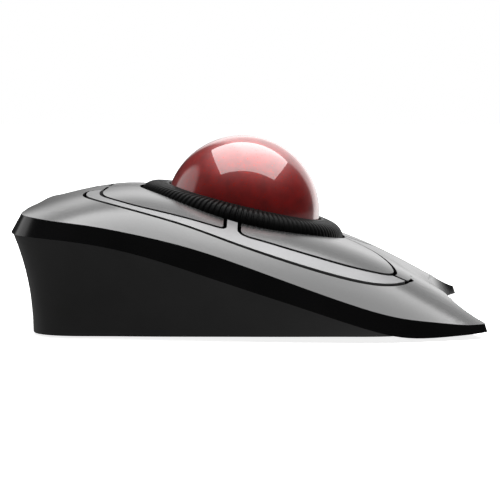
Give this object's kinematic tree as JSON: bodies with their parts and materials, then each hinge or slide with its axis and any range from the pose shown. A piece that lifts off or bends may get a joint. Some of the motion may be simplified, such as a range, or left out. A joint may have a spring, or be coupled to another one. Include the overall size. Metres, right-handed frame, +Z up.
{
  "type": "trackball mouse",
  "caption": "Wedge-shaped desktop trackball with a large centre ball, a knurled scroll ring round it, broad hinged buttons, winged palm-side front, battery bay and power slider underneath.",
  "frame": {"origin": "centre of the footprint's bounding box, on the desk", "axes": "+Z up, -Y towards the user, -X the user's left"},
  "size_m": [0.1284, 0.1598, 0.0648],
  "materials": {
    "gloss_black": "glossy moulded black",
    "silver_trim": "satin silver paint on plastic",
    "matte_black": "fine-grained matte black",
    "ring_black": "ribbed soft-touch black",
    "ball_red": "polished deep red with metallic flecks",
    "inner_black": "plain moulded black",
    "pale_plastic": "plain pale plastic",
    "circuit_board": "green solder mask",
    "chip_black": "moulded epoxy",
    "clear_lens": "clear",
    "steel": "bright",
    "cell_jacket": "plain printed film, no marks",
    "foot_rubber": "soft grey-black",
    "receiver_black": "plain black"
  },
  "bodies": {
    "casing": {"ball_cup": "inner_black", "ball_sensor_board": "circuit_board", "ball_sensor_chip": "chip_black", "ball_sensor_lens": "clear_lens", "base_shell": "matte_black", "battery_1": "cell_jacket", "battery_2": "cell_jacket", "battery_plates": "steel", "battery_springs": "steel", "battery_tray": "inner_black", "board_screws": "steel", "button_pins": "steel", "case_screws": "steel", "cup_screws": "steel", "front_left_switch": "inner_black", "front_right_switch": "inner_black", "left_switch_board": "circuit_board", "left_trim": "silver_trim", "main_board": "circuit_board", "main_chips": "chip_black", "power_switch_body": "inner_black", "rear_left_switch": "inner_black", "rear_right_switch": "inner_black", "right_switch_board": "circuit_board", "right_trim": "silver_trim", "ring_bearing": "inner_black", "ring_sensor": "inner_black", "ring_sensor_board": "circuit_board", "rubber_feet": "foot_rubber", "support_bearings": "pale_plastic", "top_cover": "gloss_black", "usb_receiver": "receiver_black"},
    "ball": {"ball": "ball_red"},
    "ring": {"scroll_ring": "ring_black", "encoder_skirt": "inner_black"},
    "rear_left_button": {"rear_left_button": "gloss_black"},
    "rear_left_plunger": {"rear_left_plunger": "pale_plastic"},
    "rear_right_button": {"rear_right_button": "gloss_black"},
    "rear_right_plunger": {"rear_right_plunger": "pale_plastic"},
    "front_left_button": {"front_left_button": "gloss_black"},
    "front_left_plunger": {"front_left_plunger": "pale_plastic"},
    "front_right_button": {"front_right_button": "gloss_black"},
    "front_right_plunger": {"front_right_plunger": "pale_plastic"},
    "door": {"battery_door": "matte_black"},
    "slider": {"power_slider": "pale_plastic"}
  },
  "joints": [
    {"name": "ball_roll", "type": "hinge", "parent": "casing", "child": "ball", "pos_m": [0, 0.0021, 0.0373], "axis": [1, 0, 0], "continuous": true},
    {"name": "ring_spin", "type": "hinge", "parent": "casing", "child": "ring", "pos_m": [0, 0.0021, 0.0373], "axis": [0, -0.2341, 0.9722], "continuous": true},
    {"name": "rear_left_press", "type": "hinge", "parent": "casing", "child": "rear_left_button", "pos_m": [-0.024, 0.0446, 0.04164], "axis": [1, 0, 0], "range_deg": [0, 1.1], "stiffness_Nm_per_rad": 1, "springref_deg": -0.69},
    {"name": "rear_left_plunge", "type": "slide", "parent": "casing", "child": "rear_left_plunger", "axis": [0, 0.2341, -0.9722], "range_m": [0, 0.0008]},
    {"name": "rear_right_press", "type": "hinge", "parent": "casing", "child": "rear_right_button", "pos_m": [0.024, 0.0446, 0.04164], "axis": [1, 0, 0], "range_deg": [0, 1.1], "stiffness_Nm_per_rad": 1, "springref_deg": -0.69},
    {"name": "rear_right_plunge", "type": "slide", "parent": "casing", "child": "rear_right_plunger", "axis": [0, 0.2341, -0.9722], "range_m": [0, 0.0008]},
    {"name": "front_left_press", "type": "hinge", "parent": "casing", "child": "front_left_button", "pos_m": [-0.029, -0.0389, 0.021], "axis": [-1, 0, 0], "range_deg": [0, 1.1], "stiffness_Nm_per_rad": 1, "springref_deg": -0.69},
    {"name": "front_left_plunge", "type": "slide", "parent": "casing", "child": "front_left_plunger", "axis": [0, 0.2341, -0.9722], "range_m": [0, 0.0008]},
    {"name": "front_right_press", "type": "hinge", "parent": "casing", "child": "front_right_button", "pos_m": [0.029, -0.0389, 0.021], "axis": [-1, 0, 0], "range_deg": [0, 1.1], "stiffness_Nm_per_rad": 1, "springref_deg": -0.69},
    {"name": "front_right_plunge", "type": "slide", "parent": "casing", "child": "front_right_plunger", "axis": [0, 0.2341, -0.9722], "range_m": [0, 0.0008]},
    {"name": "door_swing", "type": "hinge", "parent": "casing", "child": "door", "pos_m": [0, 0.0362, 0.002], "axis": [-1, 0, 0], "range_deg": [0, 90]},
    {"name": "power_slide", "type": "slide", "parent": "casing", "child": "slider", "axis": [0, 1, 0], "range_m": [0, 0.0035]}
  ],
  "couplings": [
    {"joint": "rear_left_plunge", "follows": "rear_left_press", "m_per_rad": 0.033834},
    {"joint": "rear_right_plunge", "follows": "rear_right_press", "m_per_rad": 0.033834},
    {"joint": "front_left_plunge", "follows": "front_left_press", "m_per_rad": 0.035676},
    {"joint": "front_right_plunge", "follows": "front_right_press", "m_per_rad": 0.035676}
  ]
}
